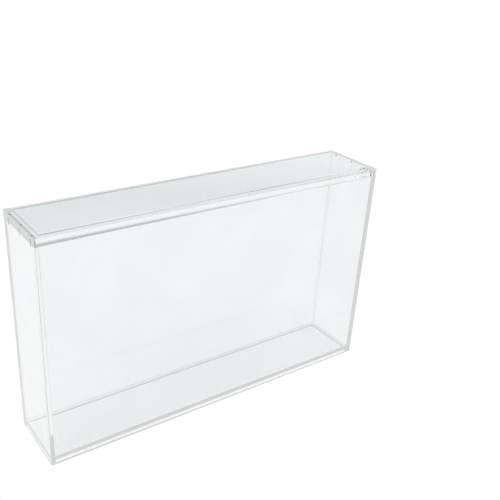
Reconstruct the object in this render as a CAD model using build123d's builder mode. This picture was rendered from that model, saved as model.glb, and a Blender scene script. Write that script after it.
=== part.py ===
from build123d import *
import os

# Clear acrylic protector: five cemented sheets make the open box, and a loose milled lid closes its top.
# Millimetres. Origin: centre of the footprint, on the surface the box stands on.
# X is the width, Y the depth with the front at -Y, and Z points up.

# The space inside
inner_width = 410.0
inner_depth = 69.0
inner_height = 240.0

# Sheet thicknesses
wall_sheet = 5.0
base_sheet = 5.0
lid_sheet = 10.0

# The walls reach below the base, and that recess takes the lid step of the box beneath
foot_recess = 3.5
step_height = 2.0
step_clearance = 0.6

# The lid lies on the walls with a hairline seam
lid_seam = 0.1

# Polished bevel along the free outer edges
edge_bevel = 0.4

# Round magnets that hold the lid, set upright in blind pockets at the two ends
magnet_diameter = 2.0
magnet_length = 3.0
magnet_pitch = 27.5
magnets_per_end = 3
pocket_clearance = 0.1
pocket_sink = 0.2

# Sizes that follow from the ones above
outer_width = inner_width + 2 * wall_sheet
outer_depth = inner_depth + 2 * wall_sheet
wall_height = foot_recess + base_sheet + inner_height
lid_bottom = wall_height + lid_seam
lid_rim = lid_sheet - step_height
step_width = inner_width - 2 * step_clearance
step_depth = inner_depth - 2 * step_clearance
magnet_x = outer_width / 2 - wall_sheet / 2
pocket_radius = magnet_diameter / 2 + pocket_clearance
pocket_depth = magnet_length + pocket_sink

os.makedirs("parts", exist_ok=True)


# Front and back walls: full width, with the four edges of the outer face bevelled
with BuildPart() as front_panel:
    with BuildSketch(Plane.XZ.offset(outer_depth / 2)):
        Rectangle(outer_width, wall_height, align=(Align.CENTER, Align.MIN))
    extrude(amount=-wall_sheet)
    outer_face = front_panel.faces().sort_by(Axis.Y)[0]
    chamfer(outer_face.edges(), edge_bevel)

with BuildPart() as back_panel:
    mirror(front_panel.part, about=Plane.XZ)


# End walls: cemented between the front and the back, drilled from above for the magnets
with BuildPart() as right_panel:
    with BuildSketch(Plane.YZ.offset(outer_width / 2)):
        Rectangle(inner_depth, wall_height, align=(Align.CENTER, Align.MIN))
    extrude(amount=-wall_sheet)
    outer_face = right_panel.faces().sort_by(Axis.X)[-1]
    chamfer(outer_face.edges().filter_by(Axis.Y), edge_bevel)
    with BuildSketch(Plane.XY.offset(wall_height)):
        with Locations((magnet_x, 0)):
            with GridLocations(1, magnet_pitch, 1, magnets_per_end):
                Circle(pocket_radius)
    extrude(amount=-pocket_depth, mode=Mode.SUBTRACT)

with BuildPart() as left_panel:
    mirror(right_panel.part, about=Plane.YZ)


# Base: one sheet cemented inside the four walls, above their lower rim
with BuildPart() as base_panel:
    with BuildSketch(Plane.XY.offset(foot_recess)):
        Rectangle(inner_width, inner_depth)
    extrude(amount=base_sheet)


# Lid: one thick sheet, milled down round its upper edge to leave the stacking step,
# with blind pockets in its underside above those in the end walls
with BuildPart() as lid:
    with BuildSketch(Plane.XY.offset(lid_bottom)):
        Rectangle(outer_width, outer_depth)
    extrude(amount=lid_rim)
    rim_faces = [lid.faces().sort_by(Axis.Z)[0], lid.faces().sort_by(Axis.Z)[-1]]
    chamfer([edge for face in rim_faces for edge in face.edges()], edge_bevel)
    with BuildSketch(Plane.XY.offset(lid_bottom + lid_rim)):
        Rectangle(step_width, step_depth)
    extrude(amount=step_height)
    chamfer(lid.faces().sort_by(Axis.Z)[-1].edges(), edge_bevel)
    with BuildSketch(Plane.XY.offset(lid_bottom)):
        with GridLocations(2 * magnet_x, magnet_pitch, 2, magnets_per_end):
            Circle(pocket_radius)
    extrude(amount=pocket_depth, mode=Mode.SUBTRACT)


# Magnets: one set at the bottom of the wall pockets, one at the top of the lid pockets
with BuildPart() as case_magnets:
    with BuildSketch(Plane.XY.offset(wall_height - pocket_depth)):
        with GridLocations(2 * magnet_x, magnet_pitch, 2, magnets_per_end):
            Circle(magnet_diameter / 2)
    extrude(amount=magnet_length)

with BuildPart() as lid_magnets:
    with BuildSketch(Plane.XY.offset(lid_bottom + pocket_depth)):
        with GridLocations(2 * magnet_x, magnet_pitch, 2, magnets_per_end):
            Circle(magnet_diameter / 2)
    extrude(amount=-magnet_length)


# One file for each piece
front_panel.part.label = "front_panel"
back_panel.part.label = "back_panel"
right_panel.part.label = "right_panel"
left_panel.part.label = "left_panel"
base_panel.part.label = "base_panel"
lid.part.label = "lid"
case_magnets.part.label = "case_magnets"
lid_magnets.part.label = "lid_magnets"

for piece in (front_panel, back_panel, right_panel, left_panel, base_panel, lid, case_magnets, lid_magnets):
    export_step(piece.part, f"parts/{piece.part.label}.step")
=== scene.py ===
"""Clear acrylic box protector: the finished look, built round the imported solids."""
import math

import bmesh
import bpy
from bpy.props import FloatProperty, FloatVectorProperty, IntProperty, PointerProperty
from mathutils import Matrix, Vector


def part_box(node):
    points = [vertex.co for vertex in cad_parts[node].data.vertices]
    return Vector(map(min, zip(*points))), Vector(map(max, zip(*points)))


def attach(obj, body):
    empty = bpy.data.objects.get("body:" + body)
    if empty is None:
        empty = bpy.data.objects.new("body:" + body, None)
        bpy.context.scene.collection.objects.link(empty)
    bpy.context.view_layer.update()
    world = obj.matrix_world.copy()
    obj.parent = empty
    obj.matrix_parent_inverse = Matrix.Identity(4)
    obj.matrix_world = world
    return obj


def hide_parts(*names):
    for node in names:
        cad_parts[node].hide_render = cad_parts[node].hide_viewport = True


bl_info = {
    "name": "Acrylic Box Protector",
    "version": (1, 0, 0),
    "blender": (4, 5, 0),
    "location": "View3D > Sidebar > Protector",
    "description": "Finishes a clear acrylic box with cemented walls and a loose stepped lid",
    "category": "Object",
}

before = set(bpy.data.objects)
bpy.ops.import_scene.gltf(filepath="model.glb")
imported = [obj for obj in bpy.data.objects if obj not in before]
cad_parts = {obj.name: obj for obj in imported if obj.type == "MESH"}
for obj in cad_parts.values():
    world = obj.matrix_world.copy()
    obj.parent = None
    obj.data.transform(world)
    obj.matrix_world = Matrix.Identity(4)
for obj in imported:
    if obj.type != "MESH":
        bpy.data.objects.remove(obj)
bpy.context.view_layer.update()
FRONT_LOW, FRONT_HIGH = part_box("front_panel")
BASE_LOW, BASE_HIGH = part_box("base_panel")
LID_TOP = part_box("lid")[1].z
MAGNETS_LOW, MAGNETS_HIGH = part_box("case_magnets")

# The open box, in metres: sheet thickness, half sizes outside and inside, and the height of its rim
WALL = FRONT_HIGH.y - FRONT_LOW.y
HALF_WIDTH = FRONT_HIGH.x
HALF_DEPTH = -FRONT_LOW.y
INNER_HALF_WIDTH = HALF_WIDTH - WALL
INNER_HALF_DEPTH = HALF_DEPTH - WALL
WALL_TOP = FRONT_HIGH.z

# Height of the step that is milled round the lid
STEP = 0.002

# How near to a face a point still belongs to it, and half the width of a joint line
SKIN = 0.0003
JOINT_LINE = 0.00015

# A mask counts as yes above this
YES = 0.5

# Noise scales of the finishes, and the stretch that lays the fine scratches level
CLOUD_SCALE = 11.0
WIPE_SCALE = 9.0
SCRATCH_SCALE = 6.0
SCRATCH_STRETCH = (14.0, 14.0, 420.0)
SAWN_SCALE = 1400.0
CEMENT_SCALE = 160.0
TARNISH_SCALE = 900.0
FLOOR_SCALE = 3.0

# Part of each noise in which the clouds and the wipe marks fade in
CLOUD_RANGE = (0.35, 0.70)
WIPE_RANGE = (0.52, 0.78)

# Strength and height of the grain on sawn edges
SAWN_STRENGTH = 0.1
SAWN_HEIGHT = 0.00001

# Fineness of the round shapes, and the profile that rounds a bead
HOLE_SIDES = 32
BEAD_SEGMENTS = 4
BEAD_PROFILE = 0.5
BUBBLE_SEGMENTS = 8
BUBBLE_RINGS = 5

# Upward part of a direction at which each level of the room begins or ends
ROOM_HEIGHTS = (0.0, 0.28, 0.36, 0.44, 0.52, 0.68, 0.82)

# Where the key light comes from
LAMP_DIRECTION = (-0.55, -0.45, 1.0)

# Nearest distance that the camera shows
NEAREST = 0.01

# Bounces of light, and clear surfaces that a shadow ray may pass
LIGHT_BOUNCES = 32
CLEAR_SURFACES = 64

# The sheets that the closed shell stands for
PANELS = ("front_panel", "back_panel", "left_panel", "right_panel", "base_panel")


class ShellSizes(bpy.types.PropertyGroup):
    """Sizes of the cemented box that the panels make together."""

    edge_bevel: FloatProperty(
        name="Edge bevel", description="Width of the polished bevel on the outer edges",
        default=0.0004, min=0.0, precision=5, unit="LENGTH")
    cement_fillet: FloatProperty(
        name="Cement fillet", description="Bead of cement left in the inner corners",
        default=0.0005, min=0.0, precision=5, unit="LENGTH")
    pocket_radius: FloatProperty(
        name="Pocket radius", description="Radius of the blind holes for the magnets",
        default=0.0011, min=0.0001, precision=5, unit="LENGTH")
    magnet_radius: FloatProperty(
        name="Magnet radius", description="Radius of one magnet",
        default=0.001, min=0.0001, precision=5, unit="LENGTH")
    magnets_per_end: IntProperty(
        name="Magnets per end", description="Magnets along each end of the box", default=3, min=1)


class CementSizes(bpy.types.PropertyGroup):
    """Sizes of the cement that joins the sheets."""

    film: FloatProperty(
        name="Film", description="Thickness of the cement between two sheets",
        default=0.00006, min=0.00001, precision=6, unit="LENGTH")
    film_inset: FloatProperty(
        name="Film inset", description="How far the cement stops short of the outer faces",
        default=0.0005, min=0.0, precision=5, unit="LENGTH")
    bubble_small: FloatProperty(
        name="Smallest bubble", description="Radius of the smallest bubble in a joint",
        default=0.00008, min=0.00001, precision=6, unit="LENGTH")
    bubble_large: FloatProperty(
        name="Largest bubble", description="Radius of the largest bubble in a joint",
        default=0.00034, min=0.00001, precision=6, unit="LENGTH")
    bubbles_per_m2: FloatProperty(
        name="Bubbles", description="Bubbles on each square metre of joint",
        default=16000.0, min=0.0)
    seed: IntProperty(name="Seed", description="Start of the bubbles' random places", default=7)


class AcrylicLook(bpy.types.PropertyGroup):
    """How the clear sheet looks."""

    surface_tint: FloatVectorProperty(
        name="Surface tint", description="Colour that one sheet lets through",
        subtype="COLOR", size=3, default=(0.910, 0.919, 0.925), min=0.0, max=1.0)
    cloud_tint: FloatVectorProperty(
        name="Cloud tint", description="Colour that one sheet lets through where it is clearest",
        subtype="COLOR", size=3, default=(0.932, 0.940, 0.945), min=0.0, max=1.0)
    lid_tint: FloatVectorProperty(
        name="Lid tint", description="Colour that the thick sheet of the lid lets through",
        subtype="COLOR", size=3, default=(0.885, 0.908, 0.914), min=0.0, max=1.0)
    lid_cloud_tint: FloatVectorProperty(
        name="Lid cloud tint", description="Colour that the lid lets through where it is clearest",
        subtype="COLOR", size=3, default=(0.905, 0.926, 0.932), min=0.0, max=1.0)
    line_tint: FloatVectorProperty(
        name="Joint line tint", description="Colour of the hairline where two sheets meet",
        subtype="COLOR", size=3, default=(0.45, 0.46, 0.46), min=0.0, max=1.0)
    clearness: FloatProperty(
        name="Clearness", description="Share of light that the surface lets through unscattered",
        default=0.999, min=0.0, max=1.0, subtype="FACTOR")
    sawn_roughness: FloatProperty(
        name="Sawn edge roughness", description="Roughness of the sheet's sawn and milled edges",
        default=0.04, min=0.0, max=1.0)
    milled_roughness: FloatProperty(
        name="Milled edge roughness", description="Roughness of the lid's sawn and milled edges",
        default=0.15, min=0.0, max=1.0)
    wipe_roughness: FloatProperty(
        name="Wipe marks", description="Roughness that wipe marks add", default=0.035, min=0.0, max=1.0)
    scratch_roughness: FloatProperty(
        name="Fine scratches", description="Roughness that fine scratches add",
        default=0.006, min=0.0, max=1.0)
    depth_tint: FloatVectorProperty(
        name="Depth tint", description="Colour that a long way through the sheet takes on",
        subtype="COLOR", size=3, default=(0.890, 0.925, 0.885), min=0.0, max=1.0)
    depth_density: FloatProperty(
        name="Depth density", description="How fast that colour builds up, for each metre",
        default=2.0, min=0.0)
    bend: FloatProperty(
        name="Refraction index", description="Refraction index of cast acrylic", default=1.49, min=1.0)
    # Painted glow: past the trapped bounces the sheets glow in this colour, standing in for light that
    # would still go round inside them
    trapped_glow_tone: FloatVectorProperty(
        name="Trapped light", description="Colour of light that goes round and round inside the sheets",
        subtype="COLOR", size=3, default=(0.675, 0.690, 0.680), min=0.0, max=1.0)
    trapped_bounces: IntProperty(
        name="Trapped bounces", description="Bounces after which light counts as trapped", default=9, min=1)
    cement_tint: FloatVectorProperty(
        name="Cement tint", description="Colour of the cured cement",
        subtype="COLOR", size=3, default=(0.992, 0.992, 0.990), min=0.0, max=1.0)
    cement_roughness: FloatProperty(
        name="Cement roughness", description="Roughness of the cured cement at its dullest",
        default=0.1, min=0.0, max=1.0)
    cement_bend: FloatProperty(
        name="Cement refraction", description="Refraction index of the cement against the sheet",
        default=1.03, min=1.0)


class MagnetLook(bpy.types.PropertyGroup):
    """How the magnets look."""

    plating: FloatVectorProperty(
        name="Plating", description="Colour of the nickel plating",
        subtype="COLOR", size=3, default=(0.20, 0.195, 0.185), min=0.0, max=1.0)
    tarnish_shade: FloatProperty(
        name="Tarnish shade", description="Share of the plating's brightness that is left under tarnish",
        default=0.6, min=0.0, max=1.0)
    clean_roughness: FloatProperty(
        name="Clean roughness", description="Roughness of the clean plating",
        default=0.18, min=0.0, max=1.0)
    tarnish_roughness: FloatProperty(
        name="Tarnish roughness", description="Roughness that tarnish adds",
        default=0.25, min=0.0, max=1.0)


class StageLook(bpy.types.PropertyGroup):
    """Floor, light and camera."""

    floor_colour: FloatVectorProperty(
        name="Floor", description="Colour of the floor",
        subtype="COLOR", size=3, default=(0.98, 0.98, 0.98), min=0.0, max=1.0)
    floor_grain: FloatVectorProperty(
        name="Floor grain", description="Colour that the floor's grain leans to",
        subtype="COLOR", size=3, default=(0.88, 0.88, 0.88), min=0.0, max=1.0)
    floor_grain_share: FloatProperty(
        name="Floor grain share", description="How far the grain leans to that colour",
        default=0.05, min=0.0, max=1.0)
    floor_roughness: FloatProperty(
        name="Floor roughness", description="Roughness of the floor", default=0.9, min=0.0, max=1.0)
    floor_gloss: FloatProperty(
        name="Floor gloss", description="Specular level of the floor", default=0.1, min=0.0, max=1.0)
    floor_white: FloatProperty(
        name="Floor white", description="Share of plain white in the floor that the camera sees",
        default=0.75, min=0.0, max=1.0)
    floor_size: FloatProperty(
        name="Floor size", description="Side of the floor", default=40.0, min=1.0, unit="LENGTH")
    floor_gap: FloatProperty(
        name="Floor gap",
        description="Air left under the walls, so that light turns back at their lower edges",
        default=0.0001, min=0.0, precision=5, unit="LENGTH")
    horizon: FloatProperty(
        name="Horizon", description="Brightness of the room at eye level", default=1.0, min=0.0)
    wall_band: FloatProperty(
        name="Room walls", description="Brightness of the room above eye level", default=0.55, min=0.0)
    upper_wall: FloatProperty(
        name="Upper room", description="Brightness of the room between its walls and its ceiling",
        default=0.75, min=0.0)
    ceiling: FloatProperty(
        name="Ceiling", description="Brightness of the room overhead", default=1.0, min=0.0)
    sun_strength: FloatProperty(
        name="Key light", description="Strength of the soft key light", default=1.3, min=0.0)
    sun_angle: FloatProperty(
        name="Key light size", description="Angle that the key light takes up in the sky",
        default=math.radians(50), subtype="ANGLE")
    camera_place: FloatVectorProperty(
        name="Camera place", description="Where the camera stands",
        subtype="TRANSLATION", size=3, default=(-0.4057, -0.5918, 0.5240), precision=4)
    camera_azimuth: FloatProperty(
        name="Camera azimuth", description="Turn of the camera to the left of the front",
        default=math.radians(-36.854), subtype="ANGLE")
    camera_elevation: FloatProperty(
        name="Camera elevation", description="Tilt of the camera down from level",
        default=math.radians(26.930), subtype="ANGLE")
    camera_roll: FloatProperty(
        name="Camera roll", description="Turn of the camera about its own axis",
        default=math.radians(3.533), subtype="ANGLE")
    camera_lens: FloatProperty(
        name="Camera lens", description="Focal length on a 36 mm sensor", default=51.424, min=1.0)
    camera_shift: FloatVectorProperty(
        name="Camera shift", description="Shift of the frame to the right and up",
        size=2, default=(0.0319, 0.0386), precision=4)


class Link:
    """An output socket that can stand in a sum: 1 - mask * 0.5 adds its Math nodes."""

    def __init__(self, tree, socket):
        self.tree = tree
        self.socket = socket

    def other(self, name):
        """Another output of the same node."""
        return Link(self.tree, self.socket.node.outputs[name])

    def math(self, operation, first, second):
        """Adds one Math node."""
        return self.tree.node("ShaderNodeMath", {"operation": operation}, {0: first, 1: second})

    def __add__(self, value):
        return self.math("ADD", self, value)

    def __radd__(self, value):
        return self.math("ADD", value, self)

    def __sub__(self, value):
        return self.math("SUBTRACT", self, value)

    def __rsub__(self, value):
        return self.math("SUBTRACT", value, self)

    def __mul__(self, value):
        return self.math("MULTIPLY", self, value)

    def __rmul__(self, value):
        return self.math("MULTIPLY", value, self)

    def __gt__(self, value):
        return self.math("GREATER_THAN", self, value)

    def __lt__(self, value):
        return self.math("LESS_THAN", self, value)


class Tree:
    """Adds nodes to one shader or geometry tree."""

    def __init__(self, tree):
        self.tree = tree
        tree.nodes.clear()

    def node(self, kind, settings=None, inputs=None, output=0):
        """One node: its settings first, then the values or links of its sockets."""
        made = self.tree.nodes.new(kind)
        for name, value in (settings or {}).items():
            if name == "stops":
                self.set_stops(made.color_ramp, value)
            else:
                setattr(made, name, value)
        for name, value in (inputs or {}).items():
            if isinstance(value, Link):
                self.tree.links.new(value.socket, made.inputs[name])
            else:
                made.inputs[name].default_value = value
        return Link(self, made.outputs[output]) if len(made.outputs) else made

    @staticmethod
    def set_stops(ramp, stops):
        """Places grey levels along a colour ramp."""
        while len(ramp.elements) < len(stops):
            ramp.elements.new(1.0)
        for element, (place, level) in zip(ramp.elements, stops):
            element.position = place
            element.color = (level, level, level, 1.0)


def new_material(name):
    """An empty material with its tree. Where it glows, it isn't sampled as a lamp."""
    material = bpy.data.materials.new(name)
    material.use_nodes = True
    material.cycles.emission_sampling = "NONE"
    return material, Tree(material.node_tree)


def rgba(colour):
    """A colour with its full alpha."""
    return (*colour, 1.0)


def noise(tree, place, scale, detail, roughness=0.5, distortion=0.0):
    """A noise pattern over a piece."""
    return tree.node("ShaderNodeTexNoise", inputs={
        "Vector": place, "Scale": scale, "Detail": detail, "Roughness": roughness,
        "Distortion": distortion})


def fade_in(tree, value, ends):
    """Goes smoothly from 0 to 1 while the value goes from one end to the other."""
    return tree.node("ShaderNodeMapRange", {"interpolation_type": "SMOOTHSTEP"}, {
        "Value": value, "From Min": ends[0], "From Max": ends[1], "To Min": 0.0, "To Max": 1.0})


def mixed(tree, share, first, second):
    """A colour that leans from the first to the second by a share."""
    return tree.node("ShaderNodeMix", {"data_type": "RGBA"}, {0: share, 6: first, 7: second}, output=2)


def clear_to_lamps(tree, surface, tint=(1.0, 1.0, 1.0)):
    """Lets lamp light straight through a clear surface, which would cast a solid shadow otherwise."""
    ray = tree.node("ShaderNodeLightPath", output="Is Shadow Ray")
    let_through = tree.node("ShaderNodeBsdfTransparent", inputs={"Color": rgba(tint)})
    return tree.node("ShaderNodeMixShader", inputs={0: ray, 1: surface, 2: let_through})


def sheet_edges(x, y, z):
    """Marks the sawn sheet edges of the shell: the ends of the long walls and both rims."""
    ends = (x > HALF_WIDTH - SKIN) * (y > INNER_HALF_DEPTH)
    rims = (z > WALL_TOP - SKIN) + (z < SKIN)
    return ends + rims > YES


def lid_edges(x, y, z):
    """Marks the sawn sides of the lid and the ledge that was milled round its step."""
    sides = (x > HALF_WIDTH - SKIN) + (y > HALF_DEPTH - SKIN)
    ledge = ((x > INNER_HALF_WIDTH) + (y > INNER_HALF_DEPTH)) * (z > LID_TOP - STEP - SKIN)
    return sides + ledge > YES


def joint_lines(x, y, z):
    """Marks the hairlines where the end walls meet the long walls."""
    offset = y - INNER_HALF_DEPTH
    near = (offset < JOINT_LINE) * (offset > -JOINT_LINE)
    return near * (x > HALF_WIDTH - SKIN)


def acrylic_material(name, look, tints, edges, edge_roughness, lines=None):
    """Clear polished sheet: faint clouds, wipe marks and fine scratches, satin sawn edges,
    a tint that builds up with depth, and a painted glow in one even tone that stands in for light trapped
    in the sheets.

    tints holds the colour that the sheet lets through and the one where it is clearest. edges marks
    the sawn edges and lines the joint lines, from the distances to the middle and the height.
    """
    material, tree = new_material(name)
    place = tree.node("ShaderNodeTexCoord", output="Object")
    across = tree.node("ShaderNodeSeparateXYZ", inputs={"Vector": place})
    x = tree.node("ShaderNodeMath", {"operation": "ABSOLUTE"}, {0: across})
    y = tree.node("ShaderNodeMath", {"operation": "ABSOLUTE"}, {0: across.other("Y")})
    z = across.other("Z")
    sawn = edges(x, y, z)

    clouds = noise(tree, place, CLOUD_SCALE, detail=3.0, distortion=0.8)
    colour = mixed(tree, fade_in(tree, clouds, CLOUD_RANGE), rgba(tints[0]), rgba(tints[1]))
    if lines is not None:
        colour = mixed(tree, lines(x, y, z), colour, rgba(look.line_tint))

    wipes = noise(tree, place, WIPE_SCALE, detail=3.0, roughness=0.55, distortion=1.6)
    wiped = fade_in(tree, wipes, WIPE_RANGE)
    stretched = tree.node("ShaderNodeMapping", inputs={"Vector": place, "Scale": SCRATCH_STRETCH})
    scratches = noise(tree, stretched, SCRATCH_SCALE, detail=2.0)
    roughness = wiped * look.wipe_roughness + scratches * look.scratch_roughness + sawn * edge_roughness

    grain = noise(tree, place, SAWN_SCALE, detail=2.0, roughness=0.6)
    relief = tree.node("ShaderNodeBump", inputs={
        "Strength": SAWN_STRENGTH, "Distance": SAWN_HEIGHT, "Height": grain * sawn})

    acrylic = tree.node("ShaderNodeBsdfPrincipled", inputs={
        "Base Color": colour, "Roughness": roughness, "Normal": relief, "IOR": look.bend,
        "Transmission Weight": look.clearness})
    # A shadow ray meets both faces of a sheet, so each takes the root of its tint
    surface = clear_to_lamps(tree, acrylic, [level ** 0.5 for level in tints[0]])
    # Painted glow: from the trapped bounces on, the sheet glows in one even colour in place of the light
    # that still goes round inside it
    trapped = tree.node("ShaderNodeLightPath", output="Ray Depth") > look.trapped_bounces - 0.5
    even = tree.node("ShaderNodeEmission", inputs={"Color": rgba(look.trapped_glow_tone), "Strength": 1.0})
    surface = tree.node("ShaderNodeMixShader", inputs={0: trapped, 1: surface, 2: even})
    depth = tree.node("ShaderNodeVolumeAbsorption", inputs={
        "Color": rgba(look.depth_tint), "Density": look.depth_density})
    tree.node("ShaderNodeOutputMaterial", inputs={"Surface": surface, "Volume": depth})
    return material


def cement_material(look):
    """Cured cement: nearly the index of the sheet, so it shows only as a faint film."""
    material, tree = new_material("cured cement")
    place = tree.node("ShaderNodeTexCoord", output="Object")
    patches = noise(tree, place, CEMENT_SCALE, detail=3.0, roughness=0.6)
    film = tree.node("ShaderNodeBsdfGlass", inputs={
        "Color": rgba(look.cement_tint), "Roughness": patches * look.cement_roughness,
        "IOR": look.cement_bend})
    surface = clear_to_lamps(tree, film, look.cement_tint)
    tree.node("ShaderNodeOutputMaterial", inputs={"Surface": surface})
    return material


def bubble_material(look):
    """Air shut in the cement, seen from inside the sheet."""
    material, tree = new_material("air bubble")
    air = tree.node("ShaderNodeBsdfGlass", inputs={
        "Color": (1.0, 1.0, 1.0, 1.0), "Roughness": 0.0, "IOR": 1 / look.bend})
    tree.node("ShaderNodeOutputMaterial", inputs={"Surface": clear_to_lamps(tree, air)})
    return material


def nickel_material(look):
    """Plated magnet with a little tarnish."""
    material, tree = new_material("nickel plating")
    place = tree.node("ShaderNodeTexCoord", output="Object")
    tarnish = noise(tree, place, TARNISH_SCALE, detail=4.0, roughness=0.6)
    dull = rgba([level * look.tarnish_shade for level in look.plating])
    shell = tree.node("ShaderNodeBsdfPrincipled", inputs={
        "Base Color": mixed(tree, tarnish, rgba(look.plating), dull), "Metallic": 1.0,
        "Roughness": tarnish * look.tarnish_roughness + look.clean_roughness})
    tree.node("ShaderNodeOutputMaterial", inputs={"Surface": shell})
    return material


def floor_material(look):
    """Plain pale floor with a hardly visible grain, and mostly white to the eye."""
    material, tree = new_material("studio floor")
    place = tree.node("ShaderNodeTexCoord", output="Object")
    grain = noise(tree, place, FLOOR_SCALE, detail=2.0)
    colour = mixed(tree, grain * look.floor_grain_share, rgba(look.floor_colour), rgba(look.floor_grain))
    paint = tree.node("ShaderNodeBsdfPrincipled", inputs={
        "Base Color": colour, "Roughness": look.floor_roughness, "Specular IOR Level": look.floor_gloss})
    white = tree.node("ShaderNodeEmission", inputs={"Color": (1.0, 1.0, 1.0, 1.0), "Strength": 1.0})
    ray = tree.node("ShaderNodeLightPath", output="Is Camera Ray")
    seen = ray + ray.other("Is Glossy Ray") + ray.other("Is Transmission Ray") > YES
    floor = tree.node("ShaderNodeMixShader", inputs={0: seen * look.floor_white, 1: paint, 2: white})
    tree.node("ShaderNodeOutputMaterial", inputs={"Surface": floor})
    return material


def new_piece(name, mesh):
    """A mesh object at the origin."""
    piece = bpy.data.objects.new(name, mesh)
    bpy.context.scene.collection.objects.link(piece)
    return piece


def mesh_from(name, bm):
    """Closes a bmesh into a mesh with outward faces."""
    bmesh.ops.recalc_face_normals(bm, faces=bm.faces)
    mesh = bpy.data.meshes.new(name)
    bm.to_mesh(mesh)
    bm.free()
    return mesh


def plan_loop(bm, half_width, half_depth, height):
    """Four vertices of a rectangle in plan, and the edges between them."""
    corners = ((-1, -1), (1, -1), (1, 1), (-1, 1))
    points = [bm.verts.new((x * half_width, y * half_depth, height)) for x, y in corners]
    edges = [bm.edges.new((points[i], points[i - 1])) for i in range(4)]
    return points, edges


def bridge(bm, lower, upper):
    """Quads between two rectangles, and the edges that join their corners."""
    for i in range(4):
        bm.faces.new((lower[i - 1], lower[i], upper[i], upper[i - 1]))
    return [bm.edges.get((lower[i], upper[i])) for i in range(4)]


def shell_mesh(sizes):
    """The five cemented sheets as one closed solid, with bevelled outside and filleted inside edges."""
    bm = bmesh.new()
    inside = (INNER_HALF_WIDTH, INNER_HALF_DEPTH)
    foot, foot_edges = plan_loop(bm, HALF_WIDTH, HALF_DEPTH, 0.0)
    rim, rim_edges = plan_loop(bm, HALF_WIDTH, HALF_DEPTH, WALL_TOP)
    mouth, _ = plan_loop(bm, *inside, WALL_TOP)
    floor, floor_edges = plan_loop(bm, *inside, BASE_HIGH.z)
    recess, _ = plan_loop(bm, *inside, 0.0)
    roof, roof_edges = plan_loop(bm, *inside, BASE_LOW.z)
    outer_edges = bridge(bm, foot, rim) + foot_edges + rim_edges
    bridge(bm, rim, mouth)
    inner_edges = bridge(bm, mouth, floor) + floor_edges
    bm.faces.new(floor)
    bridge(bm, foot, recess)
    inner_edges += bridge(bm, recess, roof) + roof_edges
    bm.faces.new(roof)
    bmesh.ops.recalc_face_normals(bm, faces=bm.faces)
    bmesh.ops.bevel(bm, geom=outer_edges, offset=sizes.edge_bevel, segments=1, affect="EDGES")
    bmesh.ops.bevel(bm, geom=inner_edges, offset=sizes.cement_fillet, segments=BEAD_SEGMENTS,
                    profile=BEAD_PROFILE, affect="EDGES")
    return mesh_from("clear_shell", bm)


def group_input(tree, group, sockets):
    """Declares a geometry group's sockets and returns its input node's outputs by name."""
    group.interface.new_socket("Geometry", in_out="INPUT", socket_type="NodeSocketGeometry")
    for name, kind in sockets:
        group.interface.new_socket(name, in_out="INPUT", socket_type=kind)
    group.interface.new_socket("Geometry", in_out="OUTPUT", socket_type="NodeSocketGeometry")
    return tree.node("NodeGroupInput")


def realised(piece, group, values):
    """Runs a geometry group on a piece and gives the result as a plain mesh."""
    modifier = piece.modifiers.new(group.name, "NODES")
    modifier.node_group = group
    for item in group.interface.items_tree:
        if item.in_out == "INPUT" and item.name in values:
            modifier[item.identifier] = values[item.name]
    evaluated = piece.evaluated_get(bpy.context.evaluated_depsgraph_get())
    mesh = bpy.data.meshes.new_from_object(evaluated)
    piece.modifiers.remove(modifier)
    mesh.name = piece.name
    piece.data = mesh
    return piece


def drill_group(material):
    """Geometry group that drills a grid of blind holes down from a level face."""
    group = bpy.data.node_groups.new("drill pockets", "GeometryNodeTree")
    tree = Tree(group)
    given = group_input(tree, group, (
        ("Across", "NodeSocketFloat"), ("Along", "NodeSocketFloat"), ("Per End", "NodeSocketInt"),
        ("Radius", "NodeSocketFloat"), ("Depth", "NodeSocketFloat"), ("Top", "NodeSocketFloat")))
    grid = tree.node("GeometryNodeMeshGrid", inputs={
        "Size X": given.other("Across"), "Size Y": given.other("Along"), "Vertices X": 2,
        "Vertices Y": given.other("Per End")}, output="Mesh")
    raised = tree.node("ShaderNodeCombineXYZ", inputs={"Z": given.other("Top")})
    spots = tree.node("GeometryNodeTransform", inputs={"Geometry": grid, "Translation": raised})
    # The drill's middle lies on the face, so it is twice as long as the hole is deep
    drill = tree.node("GeometryNodeMeshCylinder", inputs={
        "Vertices": HOLE_SIDES, "Radius": given.other("Radius"),
        "Depth": given.other("Depth") * 2.0}, output="Mesh")
    drills = tree.node("GeometryNodeInstanceOnPoints", inputs={"Points": spots, "Instance": drill})
    cutters = tree.node("GeometryNodeRealizeInstances", inputs={"Geometry": drills})
    drilled = tree.node("GeometryNodeMeshBoolean", {"operation": "DIFFERENCE", "solver": "EXACT"}, {
        "Mesh 1": given, "Mesh 2": cutters}, output="Mesh")
    whole = tree.node("GeometryNodeRealizeInstances", inputs={"Geometry": drilled})
    finished = tree.node("GeometryNodeSetMaterial", inputs={"Geometry": whole, "Material": material})
    tree.node("NodeGroupOutput", inputs={"Geometry": finished})
    return group


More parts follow.
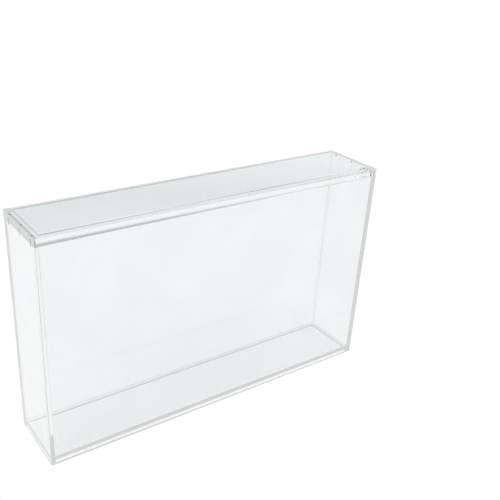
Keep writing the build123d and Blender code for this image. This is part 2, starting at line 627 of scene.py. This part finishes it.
def bubble_group(material):
    """Geometry group that scatters round bubbles over the joint faces."""
    group = bpy.data.node_groups.new("scatter bubbles", "GeometryNodeTree")
    tree = Tree(group)
    given = group_input(tree, group, (
        ("Density", "NodeSocketFloat"), ("Smallest", "NodeSocketFloat"), ("Largest", "NodeSocketFloat"),
        ("Seed", "NodeSocketInt")))
    spots = tree.node("GeometryNodeDistributePointsOnFaces", {"distribute_method": "RANDOM"}, {
        "Mesh": given, "Density": given.other("Density"), "Seed": given.other("Seed")}, output="Points")
    spread = tree.node("FunctionNodeRandomValue", {"data_type": "FLOAT"}, {
        2: 0.0, 3: 1.0, "Seed": given.other("Seed")}, output=1)
    # Cubing the spread leaves most bubbles small
    growth = spread * spread * spread * (given.other("Largest") - given.other("Smallest"))
    ball = tree.node("GeometryNodeMeshUVSphere", inputs={
        "Segments": BUBBLE_SEGMENTS, "Rings": BUBBLE_RINGS, "Radius": 1.0}, output="Mesh")
    balls = tree.node("GeometryNodeInstanceOnPoints", inputs={
        "Points": spots, "Instance": ball, "Scale": growth + given.other("Smallest")})
    whole = tree.node("GeometryNodeRealizeInstances", inputs={"Geometry": balls})
    whole = tree.node("GeometryNodeSetShadeSmooth", inputs={"Geometry": whole, "Shade Smooth": True})
    finished = tree.node("GeometryNodeSetMaterial", inputs={"Geometry": whole, "Material": material})
    tree.node("NodeGroupOutput", inputs={"Geometry": finished})
    return group


def add_slab(bm, low, high):
    """One closed box."""
    made = bmesh.ops.create_cube(bm, size=1.0)
    middle = (Vector(low) + Vector(high)) / 2
    sides = Vector(high) - Vector(low)
    for vertex in made["verts"]:
        vertex.co = middle + Vector(a * b for a, b in zip(vertex.co, sides))


def joint_slabs(bm, sizes, thickness):
    """Slabs of cement in the corner joints and round the base, each inside the acrylic."""
    half = thickness / 2
    inset = sizes.film_inset
    across = INNER_HALF_WIDTH - inset
    along = INNER_HALF_DEPTH - inset
    low, high = BASE_LOW.z + inset, BASE_HIGH.z - inset
    for side in (-1, 1):
        for end in (-1, 1):
            near, far = sorted((side * (INNER_HALF_WIDTH + inset), side * (HALF_WIDTH - inset)))
            plane = end * INNER_HALF_DEPTH
            add_slab(bm, (near, plane - half, inset), (far, plane + half, WALL_TOP - inset))
        plane = side * INNER_HALF_WIDTH
        add_slab(bm, (plane - half, -along, low), (plane + half, along, high))
        plane = side * INNER_HALF_DEPTH
        add_slab(bm, (-across, plane - half, low), (across, plane + half, high))


class PROTECTOR_OT_shell(bpy.types.Operator):
    """Make the cemented walls and base as one clear solid"""

    bl_idname = "protector.shell"
    bl_label = "Clear Shell"

    def execute(self, context):
        sizes = context.scene.protector_shell
        look = context.scene.protector_acrylic
        material = acrylic_material(
            "polished acrylic", look, (look.surface_tint, look.cloud_tint), sheet_edges,
            look.sawn_roughness, joint_lines)
        shell = new_piece("clear_shell", shell_mesh(sizes))
        group = drill_group(material)
        realised(shell, group, {
            "Across": 2 * (MAGNETS_HIGH.x - sizes.magnet_radius),
            "Along": 2 * (MAGNETS_HIGH.y - sizes.magnet_radius),
            "Per End": sizes.magnets_per_end,
            "Radius": sizes.pocket_radius,
            "Depth": WALL_TOP - MAGNETS_LOW.z,
            "Top": WALL_TOP,
        })
        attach(shell, "case")
        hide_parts(*PANELS)
        return {"FINISHED"}


class PROTECTOR_OT_films(bpy.types.Operator):
    """Lay the thin cement between the sheets"""

    bl_idname = "protector.films"
    bl_label = "Cement Films"

    def execute(self, context):
        sizes = context.scene.protector_cement
        bm = bmesh.new()
        joint_slabs(bm, sizes, sizes.film)
        films = new_piece("cement_films", mesh_from("cement_films", bm))
        films.data.materials.append(cement_material(context.scene.protector_acrylic))
        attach(films, "case")
        return {"FINISHED"}


class PROTECTOR_OT_bubbles(bpy.types.Operator):
    """Scatter small air bubbles in the cemented joints"""

    bl_idname = "protector.bubbles"
    bl_label = "Cement Bubbles"

    def execute(self, context):
        sizes = context.scene.protector_cement
        bm = bmesh.new()
        middle_tenth = sizes.film / 10
        joint_slabs(bm, sizes, middle_tenth)
        bubbles = new_piece("cement_bubbles", mesh_from("cement_bubbles", bm))
        group = bubble_group(bubble_material(context.scene.protector_acrylic))
        realised(bubbles, group, {
            "Density": sizes.bubbles_per_m2, "Smallest": sizes.bubble_small,
            "Largest": sizes.bubble_large, "Seed": sizes.seed})
        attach(bubbles, "case")
        return {"FINISHED"}


class PROTECTOR_OT_lid(bpy.types.Operator):
    """Finish the loose lid as clear sheet with a milled rim"""

    bl_idname = "protector.lid"
    bl_label = "Lid Finish"

    def execute(self, context):
        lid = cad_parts["lid"]
        look = context.scene.protector_acrylic
        material = acrylic_material(
            "milled acrylic", look, (look.lid_tint, look.lid_cloud_tint), lid_edges, look.milled_roughness)
        lid.data.materials.clear()
        lid.data.materials.append(material)
        return {"FINISHED"}


class PROTECTOR_OT_magnets(bpy.types.Operator):
    """Finish the magnets in plated nickel"""

    bl_idname = "protector.magnets"
    bl_label = "Magnet Finish"

    def execute(self, context):
        material = nickel_material(context.scene.protector_magnets)
        for name in ("case_magnets", "lid_magnets"):
            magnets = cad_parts[name]
            magnets.data.materials.clear()
            magnets.data.materials.append(material)
        return {"FINISHED"}


def make_floor(look):
    """A plain level floor, which isn't part of the object."""
    bm = bmesh.new()
    bmesh.ops.create_grid(bm, x_segments=1, y_segments=1, size=look.floor_size / 2)
    bmesh.ops.translate(bm, verts=bm.verts, vec=(0.0, 0.0, -look.floor_gap))
    floor = new_piece("floor", mesh_from("floor", bm))
    floor.data.materials.append(floor_material(look))


def make_room(look):
    """Room light that is white at eye level, grey above it and lighter again towards the ceiling."""
    world = bpy.data.worlds.new("studio room")
    world.use_nodes = True
    tree = Tree(world.node_tree)
    direction = tree.node("ShaderNodeTexCoord", output="Generated")
    height = tree.node("ShaderNodeSeparateXYZ", inputs={"Vector": direction}, output="Z")
    levels = (look.horizon, look.horizon, look.wall_band, look.wall_band,
              look.upper_wall, look.upper_wall, look.ceiling)
    stops = tuple(zip(ROOM_HEIGHTS, levels))
    level = tree.node("ShaderNodeValToRGB", {"stops": stops}, {"Fac": height})
    light = tree.node("ShaderNodeBackground", inputs={"Color": level, "Strength": 1.0})
    tree.node("ShaderNodeOutputWorld", inputs={"Surface": light})
    bpy.context.scene.world = world


def make_key_light(look):
    """One soft lamp from the upper left front."""
    lamp = bpy.data.lights.new("key light", "SUN")
    lamp.energy = look.sun_strength
    lamp.angle = look.sun_angle
    key = bpy.data.objects.new("key light", lamp)
    key.rotation_euler = Vector(LAMP_DIRECTION).to_track_quat("Z", "Y").to_euler()
    key.visible_glossy = False
    bpy.context.scene.collection.objects.link(key)


def make_camera(look):
    """The camera that fits the photograph's corners of the box."""
    azimuth, elevation, roll = look.camera_azimuth, look.camera_elevation, look.camera_roll
    forward = Vector((-math.sin(azimuth) * math.cos(elevation),
                      math.cos(azimuth) * math.cos(elevation), -math.sin(elevation)))
    level = Vector((math.cos(azimuth), math.sin(azimuth), 0.0))
    upright = level.cross(forward)
    right = level * math.cos(roll) + upright * math.sin(roll)
    up = upright * math.cos(roll) - level * math.sin(roll)
    turn = Matrix((right, up, -forward)).transposed().to_4x4()
    lens = bpy.data.cameras.new("camera")
    lens.lens = look.camera_lens
    lens.clip_start = NEAREST
    lens.shift_x, lens.shift_y = look.camera_shift
    camera = bpy.data.objects.new("camera", lens)
    camera.matrix_world = Matrix.Translation(look.camera_place) @ turn
    bpy.context.scene.collection.objects.link(camera)
    bpy.context.scene.camera = camera


def set_light_paths():
    """Lets light bounce often enough to leave the sheets or to count as trapped."""
    cycles = bpy.context.scene.cycles
    cycles.max_bounces = LIGHT_BOUNCES
    cycles.transmission_bounces = LIGHT_BOUNCES
    cycles.glossy_bounces = LIGHT_BOUNCES
    cycles.transparent_max_bounces = CLEAR_SURFACES


class PROTECTOR_OT_stage(bpy.types.Operator):
    """Set the floor, the light and the camera"""

    bl_idname = "protector.stage"
    bl_label = "Stage"

    def execute(self, context):
        look = context.scene.protector_stage
        make_floor(look)
        make_room(look)
        make_key_light(look)
        make_camera(look)
        set_light_paths()
        context.scene.view_settings.view_transform = "Standard"
        return {"FINISHED"}


class PROTECTOR_PT_panel(bpy.types.Panel):
    """Lists the sizes and colours, and a button for each step"""

    bl_idname = "PROTECTOR_PT_panel"
    bl_label = "Box Protector"
    bl_space_type = "VIEW_3D"
    bl_region_type = "UI"
    bl_category = "Protector"

    def draw(self, context):
        for name, kind in GROUPS.items():
            box = self.layout.box()
            for field in kind.__annotations__:
                box.prop(getattr(context.scene, name), field)
        for operator in OPERATORS:
            self.layout.operator(operator.bl_idname)


GROUPS = {
    "protector_shell": ShellSizes,
    "protector_cement": CementSizes,
    "protector_acrylic": AcrylicLook,
    "protector_magnets": MagnetLook,
    "protector_stage": StageLook,
}
OPERATORS = (
    PROTECTOR_OT_shell,
    PROTECTOR_OT_films,
    PROTECTOR_OT_bubbles,
    PROTECTOR_OT_lid,
    PROTECTOR_OT_magnets,
    PROTECTOR_OT_stage,
)


def register():
    """Adds the classes and hangs each property group on the scene."""
    for kind in (*GROUPS.values(), *OPERATORS, PROTECTOR_PT_panel):
        bpy.utils.register_class(kind)
    for name, kind in GROUPS.items():
        setattr(bpy.types.Scene, name, PointerProperty(type=kind))


def unregister():
    """Takes off what register added."""
    for name in GROUPS:
        delattr(bpy.types.Scene, name)
    for kind in reversed((*GROUPS.values(), *OPERATORS, PROTECTOR_PT_panel)):
        bpy.utils.unregister_class(kind)


def main():
    """Builds everything."""
    register()
    bpy.ops.protector.shell()
    bpy.ops.protector.films()
    bpy.ops.protector.bubbles()
    bpy.ops.protector.lid()
    bpy.ops.protector.magnets()
    bpy.ops.protector.stage()


if __name__ == "__main__":
    main()
